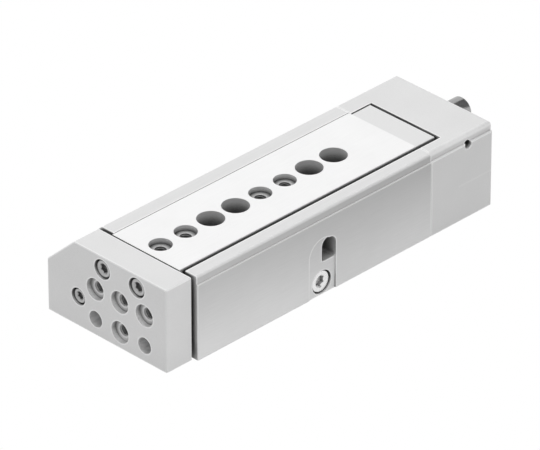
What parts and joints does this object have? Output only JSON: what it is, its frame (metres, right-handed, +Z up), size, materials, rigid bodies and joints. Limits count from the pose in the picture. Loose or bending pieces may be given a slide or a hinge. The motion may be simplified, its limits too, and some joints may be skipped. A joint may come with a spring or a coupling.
{
  "type": "pneumatic slide table",
  "caption": "Pneumatic mini slide: a piston in a flat housing pushes a ball-guided table with a yoke plate, with adjustable stops at both ends.",
  "frame": {"origin": "on the base face, below the middle of the table's row of holes, with the table retracted", "axes": "+X towards the side with the window, +Y along the travel towards the end cap, +Z up out of the table's face"},
  "size_m": [0.05, 0.1381, 0.028],
  "materials": {
    "anodised_aluminium": "natural anodised, fine satin",
    "ground_steel": "ground bright, fine lines along the travel",
    "matt_aluminium": "matt, slightly greyer than the table",
    "hardened_steel": "ground",
    "screw_steel": "bright plated",
    "stop_steel": "bright",
    "spring_steel": "black oxide",
    "chromed_rod": "hard chromed and polished",
    "ball_steel": "polished",
    "cage_brass": "rolled",
    "bearing_bronze": "sintered",
    "piston_aluminium": "turned",
    "magnet": "plastic-bonded ferrite",
    "seal_rubber": "matt",
    "buffer_rubber": "matt"
  },
  "bodies": {
    "housing_body": {"housing": "anodised_aluminium", "end_cap": "anodised_aluminium", "end_cap_screws": "screw_steel", "end_cap_seal": "seal_rubber", "gallery_seal": "seal_rubber", "gallery_plug": "screw_steel", "base_plug": "hardened_steel", "guide_rail_left": "hardened_steel", "guide_rail_right": "hardened_steel", "rod_bearing": "bearing_bronze", "rod_seal": "seal_rubber", "bearing_seal": "seal_rubber", "retaining_ring": "spring_steel", "front_stop_barrel": "stop_steel", "front_stop_buffer": "buffer_rubber", "rear_stop_barrel": "stop_steel", "rear_stop_buffer": "buffer_rubber", "clamp_screw": "screw_steel", "clamp_pad": "cage_brass", "rear_stop_set_screw": "spring_steel"},
    "table_body": {"table": "ground_steel", "table_end_piece": "matt_aluminium", "end_piece_screws": "screw_steel", "yoke_plate": "anodised_aluminium", "yoke_screws": "screw_steel", "yoke_pins": "hardened_steel", "rod_screw": "screw_steel", "piston_rod": "chromed_rod", "piston_front": "piston_aluminium", "piston_rear": "piston_aluminium", "piston_magnet": "magnet", "piston_seals": "seal_rubber", "piston_nut": "screw_steel"},
    "left_cage_body": {"ball_cage_left": "cage_brass", "balls_left": "ball_steel"},
    "right_cage_body": {"ball_cage_right": "cage_brass", "balls_right": "ball_steel"},
    "front_plunger_body": {"front_stop_plunger": "hardened_steel"},
    "rear_plunger_body": {"rear_stop_plunger": "hardened_steel"}
  },
  "joints": [
    {"name": "table_travel", "type": "slide", "parent": "housing_body", "child": "table_body", "axis": [0, -1, 0], "range_m": [0, 0.04]},
    {"name": "left_cage_travel", "type": "slide", "parent": "housing_body", "child": "left_cage_body", "axis": [0, -1, 0], "range_m": [0, 0.02]},
    {"name": "right_cage_travel", "type": "slide", "parent": "housing_body", "child": "right_cage_body", "axis": [0, -1, 0], "range_m": [0, 0.02]},
    {"name": "front_stop_press", "type": "slide", "parent": "housing_body", "child": "front_plunger_body", "axis": [0, -1, 0], "range_m": [0, 0.0017], "stiffness_N_per_m": 3000, "springref_m": -0.0005, "deforming": ["front_stop_buffer"]},
    {"name": "rear_stop_press", "type": "slide", "parent": "housing_body", "child": "rear_plunger_body", "axis": [0, 1, 0], "range_m": [0, 0.0017], "stiffness_N_per_m": 3000, "springref_m": -0.0005, "deforming": ["rear_stop_buffer"]}
  ],
  "couplings": [
    {"joint": "left_cage_travel", "follows": "table_travel", "ratio": 0.5},
    {"joint": "right_cage_travel", "follows": "table_travel", "ratio": 0.5}
  ]
}
